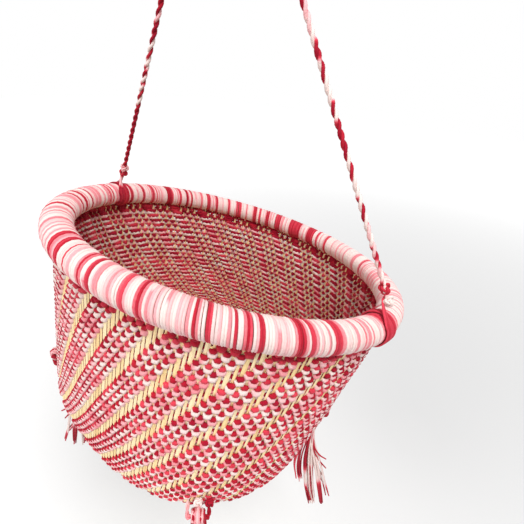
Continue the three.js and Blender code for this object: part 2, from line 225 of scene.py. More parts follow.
# Space-dyed cotton yarn, spun and plied: matt and slightly fuzzy, white, pink and red by turns
# along its length. The attribute dye says how much colour the yarn took at a place, and along and
# around run with the yarn, so its twist shows as fine slanting ridges.
yarn, tree, shader = new_material(
    "space_dyed_cotton_yarn",
    {"Roughness": 0.88, "Specular IOR Level": 0.2, "Sheen Weight": 0.06, "Sheen Roughness": 0.5},
)
dye, along, around = [
    add_node(tree, "ShaderNodeAttribute", attribute_name=name) for name in ("dye", "along", "around")
]
spot = add_node(tree, "ShaderNodeTexCoord")
fibres = add_node(
    tree, "ShaderNodeTexNoise",
    {"Vector": spot.outputs["Object"], "Scale": FUZZ_SCALE, "Detail": 3.0, "Roughness": 0.6},
)
uneven = add_node(
    tree, "ShaderNodeMapRange", {"Value": fibres.outputs["Fac"], "To Min": -0.07, "To Max": 0.07}
)
tone = add_node(
    tree, "ShaderNodeMath", {0: dye.outputs["Fac"], 1: uneven.outputs[0]}, operation="ADD"
)
colours = add_node(tree, "ShaderNodeValToRGB", {"Fac": tone.outputs[0]})
ramp = colours.color_ramp
ramp.elements[0].color = linear(YARN_WHITE)
ramp.elements[0].position = 0.08
ramp.elements[1].color = linear(YARN_RED)
ramp.elements[1].position = 0.92
ramp.elements.new(0.36).color = linear(YARN_PINK)
ramp.elements.new(0.66).color = linear(YARN_CORAL)
ramp.elements.new(1.0).color = linear(YARN_CRIMSON)
turns = add_node(
    tree, "ShaderNodeMath", {0: along.outputs["Fac"], 1: YARN_TWISTS, 2: around.outputs["Fac"]},
    operation="MULTIPLY_ADD",
)
ridges = add_node(tree, "ShaderNodeMath", {0: turns.outputs[0], 1: 0.5}, operation="PINGPONG")
relief = add_node(
    tree, "ShaderNodeMath", {0: ridges.outputs[0], 1: fibres.outputs["Fac"]}, operation="ADD"
)
nap = add_node(
    tree, "ShaderNodeBump", {"Height": relief.outputs[0], "Strength": 0.4, "Distance": 0.0003}
)
tree.links.new(colours.outputs["Color"], shader.inputs["Base Color"])
tree.links.new(nap.outputs["Normal"], shader.inputs["Normal"])

# One tree sweeps every strand of the object along its guide line. A guide's points carry the side
# that faces out, how far the strand is lifted to that side, and its swelling.
sweep = bpy.data.node_groups.new("strand_along_guide", "GeometryNodeTree")
for name, kind in (
    ("Guides", "Geometry"), ("Width", "Float"), ("Thickness", "Float"), ("Lift", "Float"),
    ("Sides", "Int"), ("Rounded", "Bool"), ("Material", "Material"),
):
    sweep.interface.new_socket(name, in_out="INPUT", socket_type="NodeSocket" + kind)
sweep.interface.new_socket("Strands", in_out="OUTPUT", socket_type="NodeSocketGeometry")
given = add_node(sweep, "NodeGroupInput").outputs
outward, lifted, swell = [
    add_node(
        sweep, "GeometryNodeInputNamedAttribute", {"Name": name}, data_type=kind
    ).outputs["Attribute"]
    for name, kind in (("outward", "FLOAT_VECTOR"), ("lifted", "FLOAT"), ("swell", "FLOAT"))
]
rise = add_node(sweep, "ShaderNodeMath", {0: lifted, 1: given["Lift"]}, operation="MULTIPLY")
shift = add_node(
    sweep, "ShaderNodeVectorMath", {0: outward, "Scale": rise.outputs[0]}, operation="SCALE"
)
placed = add_node(
    sweep, "GeometryNodeSetPosition",
    {"Geometry": given["Guides"], "Offset": shift.outputs["Vector"]},
)
line = add_node(sweep, "GeometryNodeMeshToCurve", {"Mesh": placed.outputs["Geometry"]})
run = add_node(sweep, "GeometryNodeSplineParameter")
measured = add_node(
    sweep, "GeometryNodeStoreNamedAttribute",
    {"Geometry": line.outputs["Curve"], "Name": "along", "Value": run.outputs["Length"]},
)
facing = add_node(
    sweep, "GeometryNodeSetCurveNormal",
    {"Curve": measured.outputs["Geometry"], "Normal": outward}, mode="FREE",
)
circle = add_node(
    sweep, "GeometryNodeCurvePrimitiveCircle", {"Resolution": given["Sides"], "Radius": 0.5}
)
girth = add_node(
    sweep, "GeometryNodeStoreNamedAttribute",
    {"Geometry": circle.outputs["Curve"], "Name": "around", "Value": run.outputs["Factor"]},
)
section_size = add_node(
    sweep, "ShaderNodeCombineXYZ", {"X": given["Thickness"], "Y": given["Width"], "Z": 1.0}
)
section = add_node(
    sweep, "GeometryNodeTransform",
    {
        "Geometry": girth.outputs["Geometry"],
        "Rotation": (0.0, 0.0, math.pi),
        "Scale": section_size.outputs["Vector"],
    },
)
swept = add_node(
    sweep, "GeometryNodeCurveToMesh",
    {
        "Curve": facing.outputs["Curve"],
        "Profile Curve": section.outputs["Geometry"],
        "Scale": swell,
        "Fill Caps": True,
    },
)
shaded = add_node(
    sweep, "GeometryNodeSetShadeSmooth",
    {"Geometry": swept.outputs["Mesh"], "Shade Smooth": given["Rounded"]},
)
real = add_node(sweep, "GeometryNodeRealizeInstances", {"Geometry": shaded.outputs["Geometry"]})
finished = add_node(
    sweep, "GeometryNodeSetMaterial",
    {"Geometry": real.outputs["Geometry"], "Material": given["Material"]},
)
add_node(sweep, "NodeGroupOutput", {"Strands": finished.outputs["Geometry"]})


def guide(points, outward, lifted=0.0, swell=1.0, dye=0.0, closed=False):
    """One guide line: its points, and what each of them carries."""
    points = np.asarray(points, float)
    return {
        "points": points,
        "outward": np.broadcast_to(np.asarray(outward, float), points.shape),
        "lifted": np.broadcast_to(lifted, len(points)),
        "swell": np.broadcast_to(swell, len(points)),
        "dye": np.broadcast_to(dye, len(points)),
        "closed": closed,
    }


def strands(name, body, guides, width, thickness, material, sides=6, lift=0.0, rounded=True):
    """A piece made of strands swept along its guides, as a plain mesh that rides on a body."""
    edges = []
    first = 0
    for line in guides:
        count = len(line["points"])
        edges += [(first + i, first + i + 1) for i in range(count - 1)]
        if line["closed"]:
            edges.append((first + count - 1, first))
        first += count
    guide_mesh = bpy.data.meshes.new(name + "_guides")
    guide_mesh.from_pydata(np.concatenate([line["points"] for line in guides]).tolist(), edges, [])
    for key in ("outward", "lifted", "swell", "dye"):
        flat = key != "outward"
        layer = guide_mesh.attributes.new(key, "FLOAT" if flat else "FLOAT_VECTOR", "POINT")
        values = np.concatenate([line[key] for line in guides]).astype(np.float32)
        layer.data.foreach_set("value" if flat else "vector", values.ravel())
    carrier = bpy.data.objects.new(name + "_guides", guide_mesh)
    bpy.context.scene.collection.objects.link(carrier)
    modifier = carrier.modifiers.new("strands", "NODES")
    modifier.node_group = sweep
    inputs = {
        "Width": width, "Thickness": thickness, "Lift": lift, "Sides": sides, "Rounded": rounded,
        "Material": material,
    }
    for item in sweep.interface.items_tree:
        if item.name in inputs:
            modifier[item.identifier] = inputs[item.name]
    bpy.context.view_layer.update()
    evaluated = carrier.evaluated_get(bpy.context.evaluated_depsgraph_get())
    mesh = bpy.data.meshes.new_from_object(evaluated)
    mesh.name = name
    bpy.data.objects.remove(carrier)
    bpy.data.meshes.remove(guide_mesh)
    made = bpy.data.objects.new(name, mesh)
    bpy.context.scene.collection.objects.link(made)
    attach(made, body)
    return made


def dyed(run, patch, rng, tones=DYE_TONES, odds=DYE_ODDS):
    """How much dye a yarn took along its run: soft-ended patches of about that length."""
    count = int(2 * run[-1] / patch) + 4
    ends = (np.cumsum(rng.uniform(*PATCH_LENGTHS, count)) - rng.random()) * patch
    tone = rng.choice(tones, count + 1, p=odds)
    tone = tone + rng.uniform(-DYE_SPREAD, DYE_SPREAD, count + 1)
    knots = np.stack([ends - DYE_SOFT, ends + DYE_SOFT], 1).ravel()
    return np.interp(run, knots, np.stack([tone[:-1], tone[1:]], 1).ravel())


def travelled(route):
    """How far along a route each of its points lies."""
    return np.concatenate([[0], np.cumsum(np.linalg.norm(np.diff(route, axis=0), axis=1))])


def polar(angle, radius, height):
    """Points at these angles round an upright axis, distances from it and heights."""
    return np.stack([radius * np.cos(angle), radius * np.sin(angle), height + 0 * angle], -1)


def beside(route):
    """Two directions across a route at each of its points, without twist."""
    ahead = np.gradient(route, axis=0)
    ahead /= np.linalg.norm(ahead, axis=1)[:, None]
    side = np.cross(ahead[0], (0.0, 1.0, 0.0) if abs(ahead[0][1]) < 0.9 else (1.0, 0.0, 0.0))
    sides = []
    for direction in ahead:
        side = side - direction * (side @ direction)
        side = side / np.linalg.norm(side)
        sides.append(side)
    return np.array(sides), np.cross(ahead, sides)


def two_plies(route, diameter, rng, dyes=None, odds=DYE_ODDS):
    """The two plies of a cord along a route, dyed by share of the length, or else at random.
    The odds of the tones are for both plies, or a tuple for each of them."""
    route = np.asarray(route, float)
    run = travelled(route)
    sides, others = beside(route)
    plies = []
    for ply in range(2):
        turn = ((run / CORD_LAY * 2 + ply) * math.pi)[:, None]
        out = sides * np.cos(turn) + others * np.sin(turn)
        if dyes:
            dye = np.interp(run / run[-1], *np.array(dyes).T)
        else:
            own_odds = odds[ply] if isinstance(odds[0], tuple) else odds
            dye = dyed(run, DYE_PATCH, rng, odds=own_odds)
        plies.append(guide(route + out * PLY_OFFSET * diameter, out, dye=dye))
    return plies


rng = np.random.default_rng(DYE_SEED)
knot_places = {}
for side in LEGS:
    lo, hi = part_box(f"cord_knot_{side}")
    knot_places[side] = np.array((lo + hi) / 2)
lo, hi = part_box("top_knot")
legs_meet = np.array(((lo[0] + hi[0]) / 2, (lo[1] + hi[1]) / 2, hi[2] - TOP_KNOT_RISE))
ply = PLY_WIDTH * CORD_DIAMETER
for side, length in LEGS.items():
    knot = knot_places[side]
    route = knot + (legs_meet - knot) * np.linspace(0, 1, LEG_POINTS)[:, None]
    leg = strands(
        f"twisted_leg_{side}", "cord",
        two_plies(route, CORD_DIAMETER, rng, odds=LEG_ODDS[side]), ply, ply, yarn, sides=8,
    )
    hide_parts(f"cord_leg_{side}")


# Top knot and hanging loop. Above the picture the two legs are knotted together, and one of them
# goes on as a loop of the same cord that closes over the hook.
LOOP_WIDTH = 0.011
LOOP_HEIGHT = 0.018
LOOP_POINTS = 81
LOOP_FOOT = 0.0021  # of each end of the loop from the knot's middle
ROUTE_STEPS = 24  # from one corner of a route to the next
KNOT_CORD = 0.003
KNOT_POINTS = 97
KNOT_DEPTH = 1.3  # of an overhand knot, as a share of its size
TOP_COIL_TURNS = 3
TOP_COIL_RADIUS = 0.0031
TOP_COIL_DROP = 0.0022  # of its start under the place where the legs meet
TOP_COIL_HEIGHT = 0.0067
TOP_PLY_SWELL = 1.15  # of its plies over those of the other knots


def smooth_route(corners, count):
    """A soft line through corner points, with its points evenly apart."""
    corners = np.asarray(corners, float)
    padded = np.vstack([2 * corners[0] - corners[1], corners, 2 * corners[-1] - corners[-2]])
    t = np.linspace(0, 1, ROUTE_STEPS, endpoint=False)[:, None]
    fine = []
    for a, b, c, d in zip(padded, padded[1:], padded[2:], padded[3:]):
        squared = (2 * a - 5 * b + 4 * c - d) * t**2
        cubed = (3 * b - a - 3 * c + d) * t**3
        fine.append(0.5 * (2 * b + (c - a) * t + squared + cubed))
    fine = np.vstack([*fine, corners[-1:]])
    run = travelled(fine)
    even = np.linspace(0, run[-1], count)
    return np.stack([np.interp(even, run, fine[:, i]) for i in range(3)], 1)


loop_half = LOOP_WIDTH / 2 + CORD_DIAMETER / 2
foot = [(-LOOP_FOOT, 0, -LOOP_HEIGHT), (-LOOP_FOOT, 0, CORD_DIAMETER - LOOP_HEIGHT)]
shoulder = (-loop_half, 0, -LOOP_WIDTH / 2 - CORD_DIAMETER)
arch = [
    (-loop_half * math.cos(turn), 0, loop_half * math.sin(turn) - LOOP_WIDTH / 2)
    for turn in np.linspace(0, math.pi, 9)
]
mirrored = [(-x, y, z) for x, y, z in (shoulder, foot[1], foot[0])]
route = smooth_route([*foot, shoulder, *arch, *mirrored], LOOP_POINTS)
loop = strands(
    "twisted_loop", "cord", two_plies(route, CORD_DIAMETER, rng), ply, ply,
    yarn, sides=8,
)
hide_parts("top_loop")


def overhand(middle, facing, upward, size):
    """The route of a cord drawn up into a tight overhand knot, seen flat from where it faces."""
    facing = np.asarray(facing, float) / np.linalg.norm(facing)
    side = np.cross(upward, facing)
    side /= np.linalg.norm(side)
    above = np.cross(facing, side)
    t = np.linspace(0, 2 * math.pi, KNOT_POINTS)[:, None]
    return middle + size * (
        (np.sin(t) + 2 * np.sin(2 * t)) * side
        + (np.cos(t) - 2 * np.cos(2 * t)) * above
        - KNOT_DEPTH * np.sin(3 * t) * facing
    )


turn = np.linspace(0, TOP_COIL_TURNS * 2 * math.pi, KNOT_POINTS)
height = legs_meet[2] - TOP_COIL_DROP + turn / turn[-1] * TOP_COIL_HEIGHT
coil = polar(turn, TOP_COIL_RADIUS, height)
ply = PLY_WIDTH * KNOT_CORD
top_knot = strands(
    "knot_of_both_legs", "cord", two_plies(coil, KNOT_CORD, rng),
    ply * TOP_PLY_SWELL, ply * TOP_PLY_SWELL, yarn, sides=8,
)
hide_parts("top_knot")

# Knots over the rim. Each leg ends in a tight overhand knot, where the ends of the rim tie come
# in. The left one is red and pink, the right one white under a red lobe.
RIM_KNOT_SIZE = 0.00078
# The two loops of each knot: how far up the leg, and their dye
RIM_KNOTS = {"left": ((0.0035, 0.3), (-0.002, 0.85)), "right": ((0.0025, 0.85), (-0.005, 0.05))}
toward_camera = np.array(turned @ CAMERA_PLACE)
for side, loops in RIM_KNOTS.items():
    direction = (legs_meet - knot_places[side]) / np.linalg.norm(legs_meet - knot_places[side])
    plies = []
    for up_leg, dye in loops:
        place = knot_places[side] + direction * up_leg
        route = overhand(place, toward_camera, direction, RIM_KNOT_SIZE)
        plies += two_plies(route, KNOT_CORD, rng, dyes=((0, dye), (1, dye)))
    knot = strands(f"rim_knot_{side}", "cord", plies, ply, ply, yarn)
    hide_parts(f"cord_knot_{side}")


# Rim. A round hoop of palm fibre, wound crosswise with space-dyed yarn: six strands abreast, so
# each turn leans a little. Where a strand took colour, a red or pink band crosses the rim.
RIM_RADIUS = 0.1155
RIM_THICKNESS = 0.017
ABREAST = 6
WOUND_TURNS = 97
WOUND_WIDTH = 0.00155
WOUND_THICKNESS = 0.0015
STEPS_PER_TURN = 18
WINDING_SLACK = 0.16  # of a strand from its place, as a share of the strands' pitch
WINDING_BUMPS = 0.00012
WINDING_TONES = (0.04, 0.16, 0.48)  # between the bands: mostly white, some of it pinkish
WINDING_ODDS = (0.5, 0.33, 0.17)
BAND_SPREAD = (-0.12, 0.1)  # how far a strand of a band may be from the band's dye
WINDING_SEED = 7
FRONT_SIDE = 40.0  # place round the rim's section where a front band was measured, in degrees
INNER_SIDE = 148.0
# Bands: degrees round the rim, width in millimetres, dye
FRONT_BANDS = (
    (-80.5, 1.2, 0.5), (-77.8, 3.2, 0.75), (-74.1, 3.1, 0.8), (-71.4, 1.2, 0.45),
    (-70.2, 1.2, 0.5), (-68.0, 1.2, 0.5), (-65.8, 1.3, 0.5), (-64.4, 1.5, 0.7),
    (-62.6, 2.4, 0.8), (-60.2, 2.4, 0.85), (-57.8, 1.2, 0.55), (-54.8, 1.6, 0.8),
    (-52.4, 2.7, 0.85), (-49.7, 2.6, 0.9), (-46.6, 1.2, 0.5), (-45.8, 1.0, 0.55),
    (-44.6, 1.2, 0.55), (-41.1, 4.4, 0.9), (-38.4, 2.3, 0.8), (-36.1, 1.4, 0.5),
    (-31.8, 4.8, 0.8), (-26.3, 1.3, 0.5), (-23.2, 1.9, 0.6), (-20.1, 1.3, 0.5),
    (-17.2, 1.2, 0.42), (-12.2, 11.0, 0.78), (-6.5, 3.0, 0.75),
)
# At the back the thin bands from 58 to 67.5 degrees are painted shade: dark lines between turns, given as pink dye
BACK_BANDS_AND_SHADE_LINES = (
    (44.8, 3.5, 0.8), (51.0, 4.6, 0.55), (55.0, 1.2, 0.4), (58.0, 1.2, 0.42), (61.0, 1.2, 0.45),
    (64.0, 1.3, 0.5), (67.5, 1.6, 0.55), (72.4, 2.8, 0.75), (75.5, 1.2, 0.4), (78.0, 2.2, 0.6),
    (82.8, 9.5, 0.8), (92.5, 14.0, 0.82), (98.3, 1.3, 0.4), (100.4, 1.3, 0.5),
    (102.9, 6.5, 0.75), (109.2, 4.6, 0.85), (111.5, 1.3, 0.5), (113.9, 2.2, 0.8),
    (116.7, 5.0, 0.85), (121.5, 2.2, 0.5), (126.2, 7.0, 0.76), (131.7, 3.2, 0.8),
    (135.2, 1.3, 0.4), (138.5, 2.6, 0.8), (140.7, 1.7, 0.5), (143.1, 4.4, 0.8),
    (147.2, 3.2, 0.6), (149.8, 1.3, 0.45), (152.7, 2.2, 0.85), (155.2, 3.4, 0.9),
    (159.0, 3.0, 0.8), (162.0, 1.3, 0.45), (164.9, 7.0, 0.9), (169.0, 1.3, 0.5),
    (172.2, 1.7, 0.6), (174.7, 3.4, 0.75), (177.6, 1.3, 0.4), (180.0, 3.0, 0.85),
    (183.0, 1.5, 0.5), (186.9, 3.6, 0.85),
)
# Stretches with bands at random: from, to, steps, widths and dyes. The picture cuts off the first
# one, and the second has only thin pink lines.
RANDOM_STRETCHES = (
    (188.5, 277.0, (1.8, 5.0), (1.3, 2.5, 4.5), (0.5, 0.85)),
    (-5.0, 43.0, (1.2, 3.2), (1.2,), (0.38, 0.5)),
)

axes = np.array(basket_axes)
origin = np.array(hoop_middle)


def hung(points):
    """Points of the basket's own frame, as the basket hangs."""
    return np.asarray(points) @ axes.T + origin


def hung_guide(points, outward, **carried):
    """A guide line whose points and directions are given in the basket's own frame."""
    return guide(hung(points), np.asarray(outward) @ axes.T, **carried)


rng = np.random.default_rng(WINDING_SEED)
random_bands = []
for degree, last_degree, steps, widths, tones in RANDOM_STRETCHES:
    while degree < last_degree:
        degree += rng.uniform(*steps)
        random_bands.append((degree, rng.choice(widths), rng.choice(tones)))
all_bands = ((FRONT_BANDS, FRONT_SIDE), (BACK_BANDS_AND_SHADE_LINES, INNER_SIDE), (random_bands, FRONT_SIDE))

turn_angle = 360 / WOUND_TURNS
spacing = turn_angle / ABREAST
ends = np.arange(WOUND_TURNS + 1)
place = np.arange(WOUND_TURNS * STEPS_PER_TURN) / STEPS_PER_TURN
lines = []
for strand in range(ABREAST):
    slack = np.resize(rng.normal(0, WINDING_SLACK, WOUND_TURNS), WOUND_TURNS + 1)
    height = np.resize(rng.normal(0, WINDING_BUMPS, WOUND_TURNS), WOUND_TURNS + 1)
    tint = rng.choice(WINDING_TONES, WOUND_TURNS, p=WINDING_ODDS)
    tint = np.resize(tint, WOUND_TURNS + 1)
    depth = np.resize(rng.uniform(*BAND_SPREAD, WOUND_TURNS), WOUND_TURNS + 1)
    degrees = (place + np.interp(place, ends, slack) / ABREAST) * turn_angle
    section = 360 * strand / ABREAST - place * 360
    ring = np.radians(degrees)
    out = polar(ring, np.cos(np.radians(section)), np.sin(np.radians(section)))
    tube = RIM_THICKNESS / 2 - WOUND_THICKNESS / 2 + np.interp(place, ends, height)
    points = polar(ring, RIM_RADIUS, 0.0) + out * tube[:, None]
    dye = tint[np.round(place).astype(int)]
    for bands, side in all_bands:
        crossing = degrees + ((section - side + 180) % 360 - 180) / WOUND_TURNS
        for degree, width, tone in bands:
            reach = np.degrees(width / 2000 / RIM_RADIUS)
            away = np.abs((crossing - degree + 180) % 360 - 180)
            cover = np.clip((reach - away) / spacing + 0.5, 0, 1)
            dye = np.maximum(dye, (tone + np.interp(place, ends, depth)) * cover)
    lines.append(hung_guide(points, out, dye=dye, closed=True))

wound = strands(
    "rim_winding", "basket", lines, WOUND_WIDTH, WOUND_THICKNESS, yarn
)
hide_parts("rim_wrap")

FIBRE_DARK = "#8A6A3A"
FIBRE_LIGHT = "#D9BC82"
FIBRE_SCALE = 260.0  # tones that change every 4 mm, about the width of a strip

# Palm fibre: a bundle of coarse brown strips, dull, seen only where the winding opens
fibre, tree, shader = new_material("bundled_palm_fibre", {"Roughness": 0.85})
spot = add_node(tree, "ShaderNodeTexCoord")
grain = add_node(
    tree, "ShaderNodeTexNoise",
    {"Vector": spot.outputs["Object"], "Scale": FIBRE_SCALE, "Detail": 4.0},
)
browns = add_node(tree, "ShaderNodeValToRGB", {"Fac": grain.outputs["Fac"]})
browns.color_ramp.elements[0].color = linear(FIBRE_DARK)
browns.color_ramp.elements[1].color = linear(FIBRE_LIGHT)
tree.links.new(browns.outputs["Color"], shader.inputs["Base Color"])
frame["nodes"]["rim_core"].material_slots[0].material = fibre


# Wall. 240 upright palm splints, a wide and a narrow one by turns, woven with rows of yarn. A row
# is a red yarn over a pale one. It passes in front of every other splint three times, then behind
# three, one splint further on in each row, so bare splints rise as slanting bands.
WALL_THICKNESS = 0.003
BASE_HALF_WIDTH = 0.1025
BASE_SQUARENESS = 2.5
BASE_TURN = math.radians(-4)
EDGE_BEND = 0.006
SPLINTS = 240
# Pitch of two neighbouring splints by place round the basket, both in degrees: finer on the left
SPLINT_PITCHES = (
    (-84, 2.5), (-68, 2.5), (-60, 2.85), (-52, 3.3), (-44, 3.2), (-30, 3.0), (30, 3.2),
    (60, 3.2), (90, 3.1), (115, 3.2), (128, 3.75), (178, 3.7), (198, 2.8), (215, 2.5), (276, 2.5),
)
KNOWN_SPLINT = (198, -61.85)  # one splint's number and its place in degrees
SPLINT_WIDTHS = {"wide": 0.0024, "narrow": 0.0016}
SPLINT_THICKNESS = 0.0007
SPLINT_LIFT = 0.0005
SPLINT_TONES = (0.1, 0.6)
SQUEEZE = 0.62  # of a splint's section where the yarns press it inwards
FOOT_BENDS = (72, 90)  # degrees by which a splint has turned inwards at two places of its foot
# Rows and their heights in millimetres: they lie closer together towards the base
ROW_HEIGHTS = (
    (-4, -127.2), (-2, -122.8), (0, -118.0), (2, -112.2), (6, -98.6), (10, -81.8), (14, -64.2),
    (18, -46.4), (22, -27.4), (26, -10.4), (28, -2.0),
)
ROWS = range(-4, 28)
LOWER_ROWS = 16  # in the lower of the two pieces that each yarn makes
BACK_STRETCH = 0.17  # how much further apart the upper rows lie at the back
FRONT_PLACE = math.radians(-60)
REPEAT = 8  # splints after which the weave repeats
REPEAT_START = 2
YARN_IN_FRONT = (2, 4, 6)
MIDDLE_INSET = 0.0020  # of the wall's middle from its outer face
YARN_LIFT = 0.0011
YARN_INNER_LIFT = 0.95  # of a yarn inside the wall, as a share of its lift outwards
YARN_WANDER = 0.05  # of a yarn from its place, as a share of the row's pitch
YARN_PATCH = 0.014
RED_FROM = 0.6  # dye from which a yarn counts as red
INSIDE_PAINTED_SHADE = 0.07  # painted shade: more dye in the red yarns where they pass inside the wall, so they turn darker crimson there
WIDEST_PITCH = 0.0045  # of rows, where the yarns have their full thickness
WEAVE_SEED = 21
STRAW_LIGHT = "#FAE6BA"
STRAW = "#F4D69A"
STRAW_DARK = "#BF8340"
VEIN_CHANGES = 60.0  # in a metre, so a vein runs on for about 17 mm
VEINS_AROUND = 14.0  # round a splint, one each 0.4 mm

# Palm leaf splints: split, dried and scraped smooth, straw yellow with a soft satin shine. Fine
# darker veins run along each splint, and each splint has its own tone, kept in dye.
splint, tree, shader = new_material(
    "dried_palm_splint", {"Roughness": 0.5, "Specular IOR Level": 0.35}
)
own, along, around = [
    add_node(tree, "ShaderNodeAttribute", attribute_name=name) for name in ("dye", "along", "around")
]
lengthwise = add_node(
    tree, "ShaderNodeMath", {0: along.outputs["Fac"], 1: VEIN_CHANGES}, operation="MULTIPLY"
)
crosswise = add_node(
    tree, "ShaderNodeMath", {0: around.outputs["Fac"], 1: VEINS_AROUND}, operation="MULTIPLY"
)
veined = add_node(
    tree, "ShaderNodeCombineXYZ",
    {"X": lengthwise.outputs[0], "Y": crosswise.outputs[0], "Z": own.outputs["Fac"]},
)
veins = add_node(tree, "ShaderNodeTexNoise", {"Vector": veined.outputs[0], "Scale": 1.0, "Detail": 3.0})
straw_tone = add_node(
    tree, "ShaderNodeMath", {0: veins.outputs["Fac"], 1: 0.5, 2: own.outputs["Fac"]},
    operation="MULTIPLY_ADD",
)
straws = add_node(tree, "ShaderNodeValToRGB", {"Fac": straw_tone.outputs[0]})
straws.color_ramp.elements[0].color = linear(STRAW_DARK)
straws.color_ramp.elements[0].position = 0.1
straws.color_ramp.elements[1].color = linear(STRAW_LIGHT)
straws.color_ramp.elements[1].position = 0.85
straws.color_ramp.elements.new(0.4).color = linear(STRAW)
ribbed = add_node(
    tree, "ShaderNodeBump", {"Height": veins.outputs["Fac"], "Strength": 0.25, "Distance": 0.0002}
)
tree.links.new(straws.outputs["Color"], shader.inputs["Base Color"])
tree.links.new(ribbed.outputs["Normal"], shader.inputs["Normal"])


def base_radius(angle):
    """The base's outline, a rounded square with its corners on the diagonals."""
    side = angle - BASE_TURN
    powers = np.abs(np.cos(side)) ** BASE_SQUARENESS + np.abs(np.sin(side)) ** BASE_SQUARENESS
    return BASE_HALF_WIDTH / powers ** (1 / BASE_SQUARENESS)


def wall_radius(angle, height):
    """The wall's outer face: straight from the round rim to the base, then bent in at the foot."""
    down = np.maximum(0, (-height - RIM_THICKNESS / 2) / (BASKET_DEPTH - RIM_THICKNESS / 2))
    straight = (RIM_RADIUS + WALL_THICKNESS / 2) * (1 - down) + base_radius(angle) * down
    bent = np.clip(EDGE_BEND - BASKET_DEPTH - height, 0, EDGE_BEND)
    return straight - EDGE_BEND + np.sqrt(EDGE_BEND**2 - bent**2)


def wall(angle, height, inset):
    """Points at a depth in the wall, and the directions that face out of it."""
    angle, height = np.broadcast_arrays(np.asarray(angle, float), np.asarray(height, float))
    step = 1e-4
    round_it = polar(angle + step, wall_radius(angle + step, height), height)
    round_it -= polar(angle - step, wall_radius(angle - step, height), height)
    up_it = polar(angle, wall_radius(angle, height + step), height + step)
    up_it -= polar(angle, wall_radius(angle, height), height)
    out = np.cross(round_it, up_it)
    out /= np.linalg.norm(out, axis=-1)[..., None]
    return polar(angle, wall_radius(angle, height), height) - out * inset, out


rng = np.random.default_rng(WEAVE_SEED)
# How many splints stand before each tenth of a degree
fine = np.linspace(SPLINT_PITCHES[0][0], SPLINT_PITCHES[-1][0], 3601)
counted = np.cumsum(2 / np.interp(fine, *np.array(SPLINT_PITCHES).T))
counted = (counted - counted[0]) * SPLINTS / (counted[-1] - counted[0])
known_count = np.interp(KNOWN_SPLINT[1], fine, counted) - KNOWN_SPLINT[0]


def splint_angle(number):
    """Where a splint stands round the basket."""
    return np.radians(np.interp((number + known_count) % SPLINTS, counted, fine))


def row_height(row, angle):
    """Height of a row at a place round the basket."""
    height = np.interp(row, *np.array(ROW_HEIGHTS).T) / 1000
    behind = (1 - np.cos(angle - FRONT_PLACE)) / 2
    return height * (1 + BACK_STRETCH * behind * (1 + height / BASKET_DEPTH))


def yarn_side(number, row):
    """1 where a row's yarns pass in front of a splint, -1 where they pass behind it."""
    return np.where(np.isin((number - row + REPEAT_START) % REPEAT, YARN_IN_FRONT), 1.0, -1.0)


half_rows = np.arange(ROWS[0], ROWS[-1] + 0.25, 0.5)
foot_bends = np.radians(FOOT_BENDS)
inner = EDGE_BEND - MIDDLE_INSET
for first, (kind, width) in enumerate(SPLINT_WIDTHS.items()):
    lines = []
    for number in range(first, SPLINTS, 2):
        angle = splint_angle(number)
        lifted = np.interp(half_rows, ROWS, -yarn_side(number, np.array(ROWS)))
        points, out = wall(angle, row_height(half_rows, angle), MIDDLE_INSET)
        # Its foot: two points in the bend at the base's edge and one further in
        foot = polar(
            np.full(3, angle),
            base_radius(angle) - EDGE_BEND + np.append(inner * np.cos(foot_bends), -inner),
            EDGE_BEND - BASKET_DEPTH - np.append(inner * np.sin(foot_bends), inner),
        )
        foot_out = polar(
            np.full(3, angle), np.append(np.cos(foot_bends), 0), -np.append(np.sin(foot_bends), 1)
        )
        lines.append(
            hung_guide(
                np.vstack([foot[::-1], points]), np.vstack([foot_out[::-1], out]),
                lifted=np.concatenate([[0, 0, 0.5], lifted]), dye=rng.uniform(*SPLINT_TONES),
                swell=np.concatenate([[1, 1, 1], np.where(lifted < 0, SQUEEZE, 1)]),
            )
        )
    made = strands(
        f"{kind}_splints", "basket", lines, width, SPLINT_THICKNESS, splint,
        sides=4, lift=SPLINT_LIFT, rounded=False,
    )
    if kind == "wide":
        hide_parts("woven_wall")

# A yarn's points over a splint that its row crosses in front and over the next one: the splints
# just before and after each point, and how far the yarn has grown there to a full stitch
STITCH_BEFORE = (0, 0, 0, 1, 1, 1, 1, 2)
STITCH_AFTER = (0, 0, 1, 1, 1, 1, 2, 2)
STITCH_GROWN = (1.0, 0.88, 0.0, 0.85, 1.0, 0.85, 0.0, 0.88)
STITCH_THIN = 0.8  # a yarn's swelling where a stitch starts, as a share of the full one
